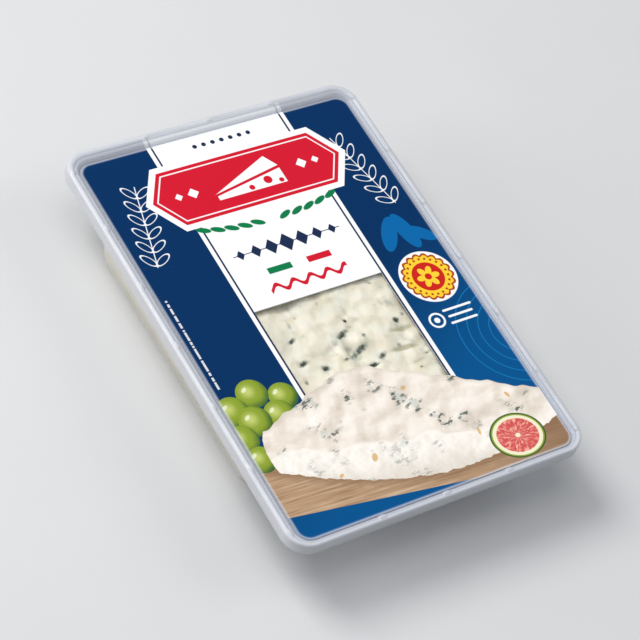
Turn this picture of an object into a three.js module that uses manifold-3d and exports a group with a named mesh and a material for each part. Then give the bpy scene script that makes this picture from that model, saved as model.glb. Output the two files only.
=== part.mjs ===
// A sealed tray pack of blue-veined soft cheese, in millimetres with +Z up.
// The origin is on the surface it stands on, under the middle of the rim. +Y runs along the pack, to its far end.
import * as THREE from "three";
import * as BufferGeometryUtils from "three/addons/utils/BufferGeometryUtils.js";
import Module from "manifold-3d";

const wasm = await Module();
wasm.setup();

// Rim: a rounded rectangle round the whole pack.
const PACK_WIDTH = 107;
const PACK_LENGTH = 152;
const RIM_CORNER = 8;
const FILM_CORNER = 4.2;
const RIM_WIDTH = 3.8;
const SKIRT_DROP = 3.2;

// The film lies this far from the rim's middle, so the rim is wider at the far end than at the near end.
const FILM_SHIFT = -1.2;

// Section of the rim, from the bottom of its outer skirt up over the crest and a second ridge: [inset, rise
// over the film]. The underside is hollow.
const RIM_TOP_SIDE = [
  [0, -SKIRT_DROP],
  [0.2, 0.4],
  [0.6, 0.85],
  [1.2, 1.0],
  [1.8, 0.85],
  [2.2, 0.5],
  [2.8, 0.6],
  [3.3, 0.4],
];
const RIM_UNDERSIDE = [
  [2.7, -0.4],
  [0.7, -0.2],
  [0.7, -SKIRT_DROP],
];

// Heights above the surface that the pack stands on.
const FILM_TOP = 24;
const FILM_THICKNESS = 0.4;
const FILM_CLEARANCE = 0.1;
const FILM_EDGE_GAP = 0.3;
const WALL = 0.7;

// Hollow of the tray: its base is a slightly tapered rectangle, nearer the far end of the rim. The walls lean
// out by these drafts on their way up, more at the ends than along the sides.
const BASE_HALF_WIDTH = 44.8;
const BASE_NEAR = -40.7;
const BASE_FAR = 53;
const BASE_CORNER = 5.5;
const BASE_EDGE = 1.6;
const BASE_EDGE_SWELL = 0.3;
const BASE_TAPER = 0.0005;
const SIDE_DRAFT = 2.6;
const END_DRAFT = 10;

// Lugs: small bumps along the rim.
const LUG_PITCH = 23;
const LUGS_EACH_WAY_ALONG = 3;
const LUGS_EACH_WAY_ACROSS = 1;
const LUG_LENGTH = 1.7;
const LUG_WIDTH = 0.9;
const LUG_HEIGHT = 0.7;
const LUG_INSET = 1.5;
const LUG_RISE = 0.6;

// Cheese: a soft block that fills the hollow, with an uneven cut face under the film.
const CHEESE_GAP = 0.3;
const CHEESE_TOP = 22.6;
const WAVE_HEIGHT = 0.3;
const WAVE_ACROSS = 5.3;
const WAVE_ALONG = 7.9;
const WAVE_BEND = 11;
const WAVE_SKEW = 23;
const RELIEF_STEP = 2.6;
const BLANK_MARGIN = 2;
const PIT_COUNT = 54;
const PIT_SEED = 11;
const PIT_ACROSS = [1.8, 3.4];
const PIT_ALONG = [2.4, 6.5];
const PIT_DEPTH = [0.5, 1.7];

const CORNER_STEPS = 7;
const HALF_WIDTH = PACK_WIDTH / 2;
const HALF_LENGTH = PACK_LENGTH / 2;
const SEAT = FILM_TOP - FILM_THICKNESS - FILM_CLEARANCE;
const BASE_MIDDLE = (BASE_NEAR + BASE_FAR) / 2;

// A rounded rectangle as a three.js shape. Every one has the same number of points, so they can be joined.
function roundedRectangle(halfWidth, near, far, corner) {
  const shape = new THREE.Shape();
  shape.absarc(halfWidth - corner, near + corner, corner, -Math.PI / 2, 0);
  shape.absarc(halfWidth - corner, far - corner, corner, 0, Math.PI / 2);
  shape.absarc(corner - halfWidth, far - corner, corner, Math.PI / 2, Math.PI);
  shape.absarc(corner - halfWidth, near + corner, corner, Math.PI, 1.5 * Math.PI);
  return shape;
}

function ring(shape, z, taper = 0) {
  const points = [];
  for (const arc of shape.curves.filter((curve) => curve.isEllipseCurve)) {
    for (const point of arc.getPoints(CORNER_STEPS)) {
      points.push(new THREE.Vector3(point.x * (1 + taper * (point.y - BASE_MIDDLE)), point.y, z));
    }
  }
  return points;
}

// A closed surface through a list of rings, with a flat lid on the first ring and on the last.
function loft(rings) {
  const count = rings[0].length;
  const points = rings.flat();
  const faces = [];
  for (let level = 0; level + 1 < rings.length; level += 1) {
    for (let i = 0; i < count; i += 1) {
      const a = level * count + i;
      const b = level * count + ((i + 1) % count);
      faces.push(a, b, b + count, a, b + count, a + count);
    }
  }
  const last = (rings.length - 1) * count;
  for (const [start, order] of [[0, -1], [last, 1]]) {
    const middle = points.length;
    const sum = points.slice(start, start + count).reduce((s, p) => s.add(p), new THREE.Vector3());
    points.push(sum.divideScalar(count));
    for (let i = 0; i < count; i += 1) {
      const pair = [start + i, start + ((i + 1) % count)];
      faces.push(middle, ...(order > 0 ? pair : pair.reverse()));
    }
  }
  const geometry = new THREE.BufferGeometry().setFromPoints(points);
  geometry.setIndex(faces);
  return geometry;
}

function toSolid(geometry) {
  const bare = geometry.clone();
  bare.deleteAttribute("normal");
  bare.deleteAttribute("uv");
  const merged = BufferGeometryUtils.mergeVertices(bare);
  return new wasm.Manifold(new wasm.Mesh({
    numProp: 3,
    vertProperties: new Float32Array(merged.attributes.position.array),
    triVerts: new Uint32Array(merged.index.array),
  }));
}

function toGeometry(solid) {
  const mesh = solid.getMesh();
  const geometry = new THREE.BufferGeometry();
  geometry.setAttribute("position", new THREE.BufferAttribute(mesh.vertProperties, 3));
  geometry.setIndex(new THREE.BufferAttribute(mesh.triVerts, 1));
  geometry.computeVertexNormals();
  return geometry;
}

function rimRing(inset, z) {
  const blend = Math.min(inset / RIM_WIDTH, 1);
  const corner = THREE.MathUtils.lerp(RIM_CORNER, FILM_CORNER, blend);
  const shift = FILM_SHIFT * blend;
  const near = shift + inset - HALF_LENGTH;
  const far = shift + HALF_LENGTH - inset;
  return ring(roundedRectangle(HALF_WIDTH - inset, near, far, corner), z);
}

// The hollow's outline, moved outward by outset and leaning out by a share of the drafts.
function baseRing(outset, z, lean = 0) {
  const side = outset + lean * SIDE_DRAFT;
  const end = outset + lean * END_DRAFT;
  const shape = roundedRectangle(BASE_HALF_WIDTH + side, BASE_NEAR - end, BASE_FAR + end, BASE_CORNER + side);
  return ring(shape, z, BASE_TAPER);
}

// The share of the drafts that the wall has reached at a height.
function leanAt(z) {
  return (z - BASE_EDGE) / (SEAT - BASE_EDGE);
}

function lug(x, y, turn) {
  const bump = new THREE.SphereGeometry(1, 8, 6);
  bump.scale(LUG_WIDTH, LUG_LENGTH, LUG_HEIGHT);
  bump.rotateZ(turn);
  bump.translate(x, y, FILM_TOP + LUG_RISE);
  return toSolid(bump);
}

// Lugs along the two long sides, where the last ones sit on the corners' curve, and along the short sides.
function makeLugs() {
  const lugs = [];
  const curveStart = HALF_LENGTH - RIM_CORNER;
  for (let i = -LUGS_EACH_WAY_ALONG; i <= LUGS_EACH_WAY_ALONG; i += 1) {
    const y = i * LUG_PITCH;
    const past = Math.sign(y) * Math.max(Math.abs(y) - curveStart, 0);
    const turn = Math.asin(past / (RIM_CORNER - LUG_INSET));
    const x = HALF_WIDTH - RIM_CORNER + (RIM_CORNER - LUG_INSET) * Math.cos(turn);
    lugs.push(lug(x, y, turn), lug(-x, y, -turn));
  }
  for (let i = -LUGS_EACH_WAY_ACROSS; i <= LUGS_EACH_WAY_ACROSS; i += 1) {
    const y = HALF_LENGTH - LUG_INSET;
    lugs.push(lug(i * LUG_PITCH, y, Math.PI / 2), lug(i * LUG_PITCH, -y, Math.PI / 2));
  }
  return lugs;
}

function makeTray() {
  const underside = SEAT - WALL;
  const outside = [
    baseRing(-BASE_EDGE, 0),
    baseRing(-BASE_EDGE * BASE_EDGE_SWELL, BASE_EDGE * BASE_EDGE_SWELL),
    baseRing(0, BASE_EDGE),
    baseRing(0, underside, leanAt(underside)),
  ];
  const rim = [
    rimRing(RIM_WIDTH, underside),
    ...RIM_UNDERSIDE.map(([inset, rise]) => rimRing(inset, FILM_TOP + rise)),
    ...RIM_TOP_SIDE.map(([inset, rise]) => rimRing(inset, FILM_TOP + rise)),
    rimRing(RIM_WIDTH, SEAT),
  ];
  const inside = [
    baseRing(-WALL, SEAT, 1),
    baseRing(-WALL, BASE_EDGE + WALL),
    baseRing(-WALL - BASE_EDGE, WALL),
  ];
  let tray = toSolid(loft([...outside, ...rim, ...inside]));
  for (const bump of makeLugs()) {
    tray = tray.add(bump);
  }
  return toGeometry(tray);
}

function makeFilm() {
  const inset = RIM_WIDTH + FILM_EDGE_GAP;
  const near = FILM_SHIFT + inset - HALF_LENGTH;
  const far = FILM_SHIFT + HALF_LENGTH - inset;
  const outline = roundedRectangle(HALF_WIDTH - inset, near, far, FILM_CORNER);
  const film = new THREE.ExtrudeGeometry(outline, {
    depth: FILM_THICKNESS,
    bevelEnabled: false,
    curveSegments: CORNER_STEPS,
  });
  return film.translate(0, 0, FILM_TOP - FILM_THICKNESS);
}

// The same numbers every time, from 0 to 1.
function seededNumbers(seed) {
  let state = seed;
  return () => {
    state = (state * 16807) % 2147483647;
    return state / 2147483647;
  };
}

// Pits and creases, longer along the pack than across it, where the veins of mould open.
function cheesePits() {
  const draw = seededNumbers(PIT_SEED);
  const between = ([low, high]) => THREE.MathUtils.lerp(low, high, draw());
  const pits = [];
  for (let i = 0; i < PIT_COUNT; i += 1) {
    pits.push({
      x: between([-BASE_HALF_WIDTH, BASE_HALF_WIDTH]),
      y: between([BASE_NEAR, BASE_FAR]),
      across: between(PIT_ACROSS),
      along: between(PIT_ALONG),
      depth: between(PIT_DEPTH),
    });
  }
  return pits;
}

function cheeseHeight(x, y, pits) {
  const across = Math.sin(x / WAVE_ACROSS + Math.sin(y / WAVE_BEND));
  const along = Math.cos(y / WAVE_ALONG + x / WAVE_SKEW);
  let z = CHEESE_TOP + WAVE_HEIGHT * across * along;
  for (const pit of pits) {
    const away = ((x - pit.x) / pit.across) ** 2 + ((y - pit.y) / pit.along) ** 2;
    z -= pit.depth * Math.exp(-away);
  }
  return z;
}

function makeCheese() {
  const width = 2 * (BASE_HALF_WIDTH + SIDE_DRAFT + BLANK_MARGIN);
  const length = BASE_FAR - BASE_NEAR + 2 * (END_DRAFT + BLANK_MARGIN);
  const columns = Math.round(width / RELIEF_STEP);
  const rows = Math.round(length / RELIEF_STEP);
  const block = new THREE.BoxGeometry(width, length, 2 * CHEESE_TOP, columns, rows, 1);
  block.translate(0, BASE_MIDDLE, 0);
  const pits = cheesePits();
  const place = block.attributes.position;
  for (let i = 0; i < place.count; i += 1) {
    if (place.getZ(i) > 0) {
      place.setZ(i, cheeseHeight(place.getX(i), place.getY(i), pits));
    }
  }
  const away = -WALL - CHEESE_GAP;
  const floor = WALL + CHEESE_GAP;
  const hollow = loft([
    baseRing(away - BASE_EDGE, floor),
    baseRing(away, floor + BASE_EDGE),
    baseRing(away, SEAT, 1),
  ]);
  return toGeometry(toSolid(block).intersect(toSolid(hollow)));
}

function material(color, roughness) {
  return new THREE.MeshStandardMaterial({ color, roughness, metalness: 0 });
}

const pack = new THREE.Group();
const pieces = [
  ["tray", makeTray(), material(0xd9dde0, 0.35)],
  ["cheese", makeCheese(), material(0xe9e3cf, 0.55)],
  ["lid_film", makeFilm(), material(0x0b4a86, 0.3)],
];
for (const [name, geometry, finish] of pieces) {
  const mesh = new THREE.Mesh(geometry, finish);
  mesh.name = name;
  pack.add(mesh);
}

export default pack;
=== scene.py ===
# Looks of a sealed tray pack of blue cheese. Metres, +Z up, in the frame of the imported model.
import math

import bmesh
import bpy
from mathutils import Euler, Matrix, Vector, noise


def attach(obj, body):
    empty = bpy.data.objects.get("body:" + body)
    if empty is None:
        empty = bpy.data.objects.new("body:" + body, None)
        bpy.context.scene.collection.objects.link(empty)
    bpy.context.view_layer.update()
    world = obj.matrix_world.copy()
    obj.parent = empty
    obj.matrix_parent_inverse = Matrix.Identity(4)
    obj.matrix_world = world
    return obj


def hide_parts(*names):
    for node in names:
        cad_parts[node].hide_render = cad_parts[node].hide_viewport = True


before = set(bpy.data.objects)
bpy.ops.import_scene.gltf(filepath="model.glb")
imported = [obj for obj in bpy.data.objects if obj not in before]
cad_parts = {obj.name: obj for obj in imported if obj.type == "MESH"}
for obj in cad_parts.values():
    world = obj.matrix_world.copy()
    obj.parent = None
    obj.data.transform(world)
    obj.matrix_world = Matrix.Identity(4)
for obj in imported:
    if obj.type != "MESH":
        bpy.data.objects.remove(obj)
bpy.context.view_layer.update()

MM = 0.001

# Sizes of the pack in millimetres, as in the frame.
HALF_WIDTH = 53.5
HALF_LENGTH = 76.0
RIM_CORNER = 8.0
FILM_CORNER = 4.2
RIM_WIDTH = 3.8
SKIRT_DROP = 3.2
FILM_SHIFT = -1.2
FILM_TOP = 24.0
FILM_THICKNESS = 0.4
SEAT = 23.5
WALL = 0.7
FILM_INSET = 4.1
# Section of the rim, from its outer edge inward: inset and rise over the film's top.
RIM_TOP_SIDE = (
    (0.0, -SKIRT_DROP), (0.12, -1.0), (0.2, 0.35), (0.6, 0.85), (1.2, 1.0), (1.8, 0.85),
    (2.2, 0.5), (2.8, 0.6), (3.2, 0.35), (3.6, -0.1), (RIM_WIDTH, SEAT - FILM_TOP),
)
# The same for its underside, from the inner edge outward.
RIM_UNDERSIDE = (
    (RIM_WIDTH, SEAT - WALL - FILM_TOP), (2.7, -0.4), (1.2, 0.15), (WALL, -0.2), (WALL, -SKIRT_DROP),
)
RIM_STEPS = 5

# The hollow.
BASE_HALF_WIDTH = 44.8
BASE_NEAR = -40.7
BASE_FAR = 53.0
BASE_MIDDLE = (BASE_NEAR + BASE_FAR) / 2
BASE_CORNER = 5.5
BASE_EDGE = 1.6
BASE_TAPER = 0.0005
SIDE_DRAFT = 2.6
END_DRAFT = 10.0
EDGE_STEPS = 6

# Lugs: how many lie each way from the middle of a long and of a short side.
LUGS_ALONG = 3
LUGS_ACROSS = 1
LUG_PITCH = 23.0
LUG_INSET = 1.5
LUG_SIZE = (0.9, 1.7, 0.7)
LUG_RISE = 0.6

# The cheese: waves, pits and spots of mould.
CHEESE_GAP = 0.3
CHEESE_TOP = 22.6
WAVE_HEIGHT = 0.3
WAVE_ACROSS = 5.3
WAVE_ALONG = 7.9
WAVE_BEND = 11.0
WAVE_SKEW = 23.0
PIT_COUNT = 54
PIT_SEED = 11
PIT_ACROSS = (1.8, 3.4)
PIT_ALONG = (2.4, 6.5)
PIT_DEPTH = (0.5, 1.7)
SPOT_COUNT = 190
SPOT_SEED = 47
SPOT_LENGTH = (0.6, 2.2)
SPOT_WIDTH = (0.4, 0.9)
SPOT_TURN = (0.0, 3.1)
SPOT_STRENGTH = (0.7, 2.2)
SPOT_MARGIN = 2.0
# Spots of mould under the window: x, y, half length, half width, turn and strength.
WINDOW_SPOTS = (
    (-1.3, 0.5, 0.8, 0.5, 1.3, 1.0), (-10.6, -2.1, 0.5, 0.5, 1.5, 1.0), (-14.0, -3.9, 1.4, 0.5, 1.4, 0.7),
    (-16.1, -9.4, 1.6, 0.7, 0.3, 1.6), (-16.6, -17.8, 1.6, 0.9, 0.3, 1.8), (-11.1, -21.9, 1.3, 1.0, 0.1, 1.8),
    (4.3, -7.8, 0.8, 0.7, 1.4, 1.7), (0.4, -12.4, 3.1, 1.0, 0.4, 1.4), (-3.1, -15.1, 1.2, 0.7, 2.5, 0.8),
    (6.9, -14.9, 0.7, 0.6, 1.4, 1.5), (3.9, -18.9, 2.5, 1.1, 0.4, 1.4), (-3.1, -21.2, 1.8, 0.5, 0.2, 1.2),
    (3.6, -25.9, 2.8, 0.8, 0.2, 1.9), (8.8, -23.5, 1.5, 0.9, 0.3, 1.5), (19.8, -13.5, 1.0, 0.8, 1.8, 2.3),
    (18.9, -15.5, 0.8, 0.6, 1.9, 0.9), (23.0, -12.1, 0.6, 0.5, 1.5, 1.6), (20.2, -6.5, 2.6, 1.3, 2.6, 0.75),
    (18.7, 2.0, 1.4, 0.6, 2.3, 1.0), (16.0, -21.9, 0.9, 0.6, 2.1, 0.9), (18.6, -31.4, 1.0, 0.5, 0.4, 1.0),
    (23.2, -27.2, 1.1, 0.5, 0.2, 1.1), (-19.2, -24.2, 1.1, 0.7, 1.6, 1.3),
)
# Soft folds of the cut face: x, y, half length, half width, turn and depth.
FOLDS = (
    (20.0, -16.7, 4.5, 0.9, 3.1, 0.6), (17.2, -23.3, 5.2, 1.0, 3.1, 0.65),
    (19.0, -29.0, 3.5, 0.8, 0.1, 0.35), (-14.0, -16.0, 6.0, 0.9, -0.3, 0.15),
    (-30.0, 12.0, 9.0, 1.0, 0.5, 0.4), (26.0, 30.0, 9.0, 1.0, -0.2, 0.4),
)
# Fine relief, and how mould and pits go together.
LUMP_HEIGHT = 0.42
LUMP_SIZE = (6.0, 9.0)
CRAG_HEIGHT = 0.13
CRAG_SIZE = (3.4, 3.9)
MOULD_SINK = 0.3
PIT_MOULD = 0.2
# The block's mesh: steps of its upper face, its highest rise, its rounded border and the levels of its side.
CHEESE_GRID = 180
CHEESE_RISE = 0.45
CHEESE_BORDER = 0.03
CHEESE_ROUND = 0.8
SIDE_LEVELS = (20.0, 16.0, 12.0, 8.0, 4.0)
SIDE_BUMP = 0.18 / 50
SIDE_BUMP_SIZE = 5.0

# The film's ends and its clear window.
FILM_NEAR = FILM_SHIFT + FILM_INSET - HALF_LENGTH
FILM_FAR = FILM_SHIFT + HALF_LENGTH - FILM_INSET
WINDOW_LEFT = -22.8
WINDOW_RIGHT = 24.0
WINDOW_TOP = 3.3
WINDOW_STEPS = 40

# Upper contour of the pictured cheese: a rounded hump that falls more on its right, with two small waves.
HUMP_TOP = -24.9
HUMP_MIDDLE = -6.0
HUMP_ROUND = 6.0
HUMP_SLOPE = 0.455
HUMP_LEAN = 0.095
# Height, rate and start of each wave.
HUMP_WAVES = ((0.4, 0.55, 1.0), (0.2, 1.3, 0.0))

# The film's slackness, its hazy border and the size of its triangles.
HAZE_WIDTH = 0.9
FILM_SLACK = 0.12
FILM_EDGE = 8.0
FILM_TRIANGLE = 6.0

# Layout of the print, in millimetres on the film. EDGE is the softness of an outline.
EDGE = 0.14
BAND_MIDDLE = 0.6
BAND_HALF = 25.4
BAND_NEAR = -48.0
LINE_HALF = 0.33
LINE_PLACES = (-23.1, 24.3)
FADE_NEAR = -60.0
FADE_FAR = 0.0

# Side motifs: sprigs (x, y, turn), leaves (x, y, half sizes, turn), arcs, a ring with bars (y, half length)
# and a line of dashes (x, y, half width, half height).
SPRIGS = ((-39.5, 43.0, 76), (39.5, 41.0, 104))
SPRIG_REACH = 15.6
SPRIG_LINE = 0.15
LEAF_PITCH = 5.2
LEAF_PLACE = (0.2, 2.3)
LEAF_TURN = 48
LEAF_SIZE = (2.9, 1.15)
LEAF_LINE = 0.13
BLUE_LEAVES = ((34.5, 15.5, (7.0, 2.7), 62), (40.5, 15.0, (7.4, 2.8), 100), (45.0, 12.5, (5.4, 2.2), 140))
ARC_CENTRE = (55.0, -30.0, 0)
ARC_PITCH = 3.6
ARC_LINE = 0.16
ARC_REACH = 23.0
RING = (31.6, -18.9)
RING_RADIUS = 2.5
RING_LINE = 0.35
RING_DOT = 1.0
BARS_X = 40.5
BARS = ((-16.4, 5.4), (-18.9, 4.6), (-21.4, 5.0))
BAR_HALF = 0.4
BAR_CORNER = 0.35
DASHES = (-47.0, -1.0, 0.36, 17.0)

# Round mark: radii from its white edge inward.
SEAL = (38.0, -3.2)
SEAL_PAPER = 9.8
SEAL_EDGE = 8.2
SCALLOPS = 18
SCALLOP_SIZE = 0.9
SEAL_BORDER = 0.8
BEADS = 22
BEAD_RING = 6.9
BEAD_HALF = 0.4
SEAL_MIDDLE = 5.5
PETALS = 6
PETAL_ROOT = 1.9
PETAL_SIZE = 2.2
SEAL_DOT = 1.2

# Plaque, its line (distance from the edge, half width), its drawing from the plaque's middle, its diamonds
# (reach, half size) and the row of leaves under it.
PLAQUE = (1.2, 50.0)
PLAQUE_HALF_HEIGHT = 10.6
PLAQUE_REACH = 34.5
PLAQUE_SLANT = 0.62
PLAQUE_BORDER = 2.1
PLAQUE_LINE = (-1.5, 0.22)
WEDGE_SIDE = [(-13.0, -5.2), (12.0, -5.2), (12.0, 0.6), (-13.0, -3.6)]
WEDGE_TOP = [(-13.2, -2.7), (12.0, 1.7), (9.0, 6.4)]
WEDGE_HOLES = ((6.0, -2.6, 1.5), (-0.5, -3.8, 1.0), (10.4, -4.0, 0.9))
PLAQUE_DIAMONDS = ((20.0, 2.0), (25.2, 1.4))
LEAF_PAIRS = 5
LEAF_ROW = 33.4
LEAF_ROW_FIRST = 5.0
LEAF_ROW_PITCH = 4.6
LEAF_ROW_RISE = 0.16
ROW_LEAF = (2.5, 1.0)
ROW_LEAF_TURN = 24

# Ornaments down the white band.
DIAMOND_ROW = 23.6
DIAMOND_PITCH = 5.6
DIAMOND_SIZE = 3.5
DIAMOND_SHRINK = 0.55
DIAMOND_WIDTH = 0.78
ROW_HALF = 19.5
ROW_LINE = 0.16
DOT_ROW = 66.6
DOT_PITCH = 3.3
DOT_RADIUS = 0.8
BLOCK_Y = 15.4
BLOCK_HALF = (4.3, 1.15)
GREEN_BLOCK_X = -6.6
RED_BLOCK_X = 7.8
WAVE_Y = 9.0
WAVE_SIZE = 1.2
WAVE_LINE = 0.75
WAVE_REACH = 14.2

# Pictured serving. The board's edges and the cut line have a height at x = 0 and a slope.
BOARD_FAR = (-49.0, -0.1)
BOARD_NEAR = (-71.3, -0.14)
GRAIN_SIZE = (20.0, 0.8)
GRAIN_TURN = -3
BOARD_DARKENS = (5.0, 55.0, 0.0, 0.9)
SERVED_BOTTOM = -68.2
SERVED_SAG = 9.0
SERVED_LOWEST_X = 16.0
SERVED_HALF = 42.0
SERVED_LEFT = -44.6
BULGE = 0.03
BULGE_Y = -45.0
CUT_LINE = (-54.0, -0.2)
# Grapes: x, y and radius.
BUNCH = (
    (-29.6, -26.6, 4.7), (-38.4, -22.8, 5.1), (-47.0, -26.4, 5.2), (-33.8, -32.0, 5.0),
    (-42.2, -31.8, 5.3), (-48.8, -36.2, 5.0), (-46.8, -44.2, 4.6),
)
# Golden bits of rind in the pictured cheese: x, y, size and turn.
RIND_BITS = (
    (-14.0, -55.5, (1.5, 0.9), 60), (7.5, -37.0, (1.0, 0.6), 20), (22.0, -59.0, (1.2, 0.5), 80),
    (-27.0, -57.5, (0.9, 0.5), 30), (38.0, -50.5, (1.1, 0.6), 110),
)
SLICE = (33.0, -64.5)
SLICE_RADIUS = 9.2
SLICE_SQUASH = 0.82
SLICE_CORE = 0.9
SPOKES = 11

# Camera: its place and the way it looks come from the photo's edges, fitted to the rim.
CAMERA_PLACE = (-0.3723, -0.3211, 0.6086)
CAMERA_TARGET = (-0.0045, -0.0062, 0.024)
CAMERA_ROLL = 24.14
CAMERA_LENS = 140.4

# Colours in linear light.
BLUE_FAR = (0.0010, 0.027, 0.104)
BLUE_NEAR = (0.0010, 0.078, 0.240)
LINE_NAVY = (0.012, 0.024, 0.070)
PAPER = (0.86, 0.87, 0.88)
RED = (0.58, 0.010, 0.028)
GREEN = (0.004, 0.178, 0.060)
YELLOW = (0.92, 0.58, 0.035)
SEAL_RED = (0.38, 0.060, 0.012)
SEAL_DISC = (0.54, 0.018, 0.012)
SOFT_BLUE = (0.002, 0.120, 0.350)
LINE_BLUE = (0.010, 0.220, 0.520)
FROST = (0.70, 0.72, 0.775)
FROST_SHADE = (0.64, 0.655, 0.685)
FROST_CREAM = (0.90, 0.885, 0.815)
HAZE = (0.70, 0.75, 0.83)
CREAM = (0.810, 0.755, 0.600)
CREAM_LIGHT = (0.875, 0.835, 0.700)
CREAM_COOL = (0.720, 0.725, 0.600)
CREAM_SHADE = (0.580, 0.530, 0.390)
CREAM_HIGHLIGHT = (0.930, 0.905, 0.810)
MOULD_HALO = (0.330, 0.360, 0.290)
MOULD = (0.085, 0.110, 0.070)
MOULD_DEEP = (0.022, 0.028, 0.020)
FOLD_SHADE = (0.400, 0.355, 0.205)
WOOD = (0.430, 0.275, 0.165)
WOOD_DARK = (0.250, 0.145, 0.080)
WOOD_LIGHT = (0.560, 0.410, 0.280)
SERVED = (0.800, 0.720, 0.640)
SERVED_LIGHT = (0.900, 0.860, 0.800)
SERVED_SHADE = (0.560, 0.490, 0.410)
RIND = (0.640, 0.360, 0.095)
GRAPE = (0.235, 0.320, 0.032)
GRAPE_DARK = (0.040, 0.110, 0.028)
GRAPE_LIGHT = (0.500, 0.560, 0.160)
FLESH = (0.600, 0.085, 0.085)
FLESH_LIGHT = (0.860, 0.420, 0.330)
PITH = (0.820, 0.780, 0.560)
GRAPE_GLINT = (0.86, 0.90, 0.70)
VEIN_SOFT = (0.46, 0.52, 0.48)
VEIN_DARK = (0.07, 0.095, 0.085)
FILM_BACK = (0.72, 0.74, 0.77)
FLOOR_DARK = (0.60, 0.605, 0.615)
FLOOR_LIGHT = (0.63, 0.635, 0.645)
SKY = (0.92, 0.95, 1.0)
SKY_STRENGTH = 0.3

# Lights in metres: name, place, height looked at over the middle, size, power and colour.
LIGHTS = (
    ("key", (-0.60, 0.75, 1.15), 0.02, 0.7, 15, (1.0, 0.99, 0.97)),
    ("fill", (0.9, -0.35, 0.9), 0.02, 0.8, 3.2, (0.95, 0.975, 1.0)),
    ("top", (-0.25, 0.1, 1.3), 0.02, 0.8, 4.0, (1.0, 1.0, 1.0)),
    ("side", (-1.1, 0.4, 0.38), 0.015, 0.6, 5.0, (1.0, 0.99, 0.97)),
)
FLOOR_HALF = 900


def lerp(a, b, t):
    return a + (b - a) * t


# Outlines and lofts.

def rounded_rectangle(half_width, near, far, corner, steps):
    points = []
    centres = (
        (half_width - corner, near + corner, -90),
        (half_width - corner, far - corner, 0),
        (corner - half_width, far - corner, 90),
        (corner - half_width, near + corner, 180),
    )
    for cx, cy, start in centres:
        for i in range(steps + 1):
            a = math.radians(start + 90 * i / steps)
            points.append((cx + corner * math.cos(a), cy + corner * math.sin(a)))
    return points


def rim_ring(inset, z, steps=20):
    corner = lerp(RIM_CORNER, FILM_CORNER, min(inset / RIM_WIDTH, 1))
    shift = FILM_SHIFT * min(inset / RIM_WIDTH, 1)
    near, far = shift + inset - HALF_LENGTH, shift + HALF_LENGTH - inset
    return [(x, y, z) for x, y in rounded_rectangle(HALF_WIDTH - inset, near, far, corner, steps)]


def base_ring(outset, z, lean=0.0, steps=20):
    """The hollow's outline, moved outward by outset and leaning out by a share of the drafts."""
    side = outset + lean * SIDE_DRAFT
    end = outset + lean * END_DRAFT
    outline = rounded_rectangle(
        BASE_HALF_WIDTH + side, BASE_NEAR - end, BASE_FAR + end, BASE_CORNER + side, steps)
    return [(x * (1 + BASE_TAPER * (y - BASE_MIDDLE)), y, z) for x, y in outline]


def lean_at(z):
    return (z - BASE_EDGE) / (SEAT - BASE_EDGE)


def smooth_curve(points, steps):
    """Points along a Catmull-Rom curve through the given ones."""
    curve = []
    ends = [points[0], *points, points[-1]]
    for a, b, c, d in zip(ends, ends[1:], ends[2:], ends[3:]):
        for i in range(steps):
            t = i / steps
            curve.append(tuple(
                0.5 * (2 * q + (r - p) * t + (2 * p - 5 * q + 4 * r - s) * t * t
                       + (3 * q - p - 3 * r + s) * t ** 3)
                for p, q, r, s in zip(a, b, c, d)))
    return [*curve, points[-1]]


def mesh_object(name, points, faces):
    mesh = bpy.data.meshes.new(name)
    mesh.from_pydata([tuple(c * MM for c in p) for p in points], [], faces)
    mesh.validate()
    mesh.update()
    piece = bpy.data.objects.new(name, mesh)
    bpy.context.scene.collection.objects.link(piece)
    return piece


def shape_object(name, shape):
    """An object from a bmesh shape, which is used up."""
    mesh = bpy.data.meshes.new(name)
    shape.to_mesh(mesh)
    shape.free()
    piece = bpy.data.objects.new(name, mesh)
    bpy.context.scene.collection.objects.link(piece)
    return piece


def loft(name, rings):
    """A closed mesh through rings of points, with a lid on the first ring and on the last."""
    count = len(rings[0])
    points = [p for ring in rings for p in ring]
    faces = []
    for level in range(len(rings) - 1):
        for i in range(count):
            a = level * count + i
            b = level * count + (i + 1) % count
            faces.append((a, b, b + count, a + count))
    faces.append(tuple(reversed(range(count))))
    faces.append(tuple(range(len(points) - count, len(points))))
    return mesh_object(name, points, faces)


def smooth(piece, angle=40):
    piece.data.polygons.foreach_set("use_smooth", [True] * len(piece.data.polygons))
    piece.data.set_sharp_from_angle(angle=math.radians(angle))


def join_solids(piece, others):
    """Fuses the other pieces into the first one."""
    for other in others:
        union = piece.modifiers.new("union", "BOOLEAN")
        union.operation = "UNION"
        union.solver = "MANIFOLD"
        union.object = other
    bpy.context.view_layer.update()
    evaluated = piece.evaluated_get(bpy.context.evaluated_depsgraph_get())
    mesh = bpy.data.meshes.new_from_object(evaluated)
    piece.modifiers.clear()
    piece.data = mesh
    for other in others:
        bpy.data.objects.remove(other)


# Tray.

def lug(x, y, turn):
    ball = bmesh.new()
    bmesh.ops.create_uvsphere(ball, u_segments=20, v_segments=12, radius=1)
    bmesh.ops.scale(ball, vec=[s * MM for s in LUG_SIZE], verts=ball.verts)
    bmesh.ops.rotate(ball, matrix=Euler((0, 0, turn)).to_matrix(), verts=ball.verts)
    bmesh.ops.translate(ball, vec=(x * MM, y * MM, (FILM_TOP + LUG_RISE) * MM), verts=ball.verts)
    return shape_object("lug", ball)


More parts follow.
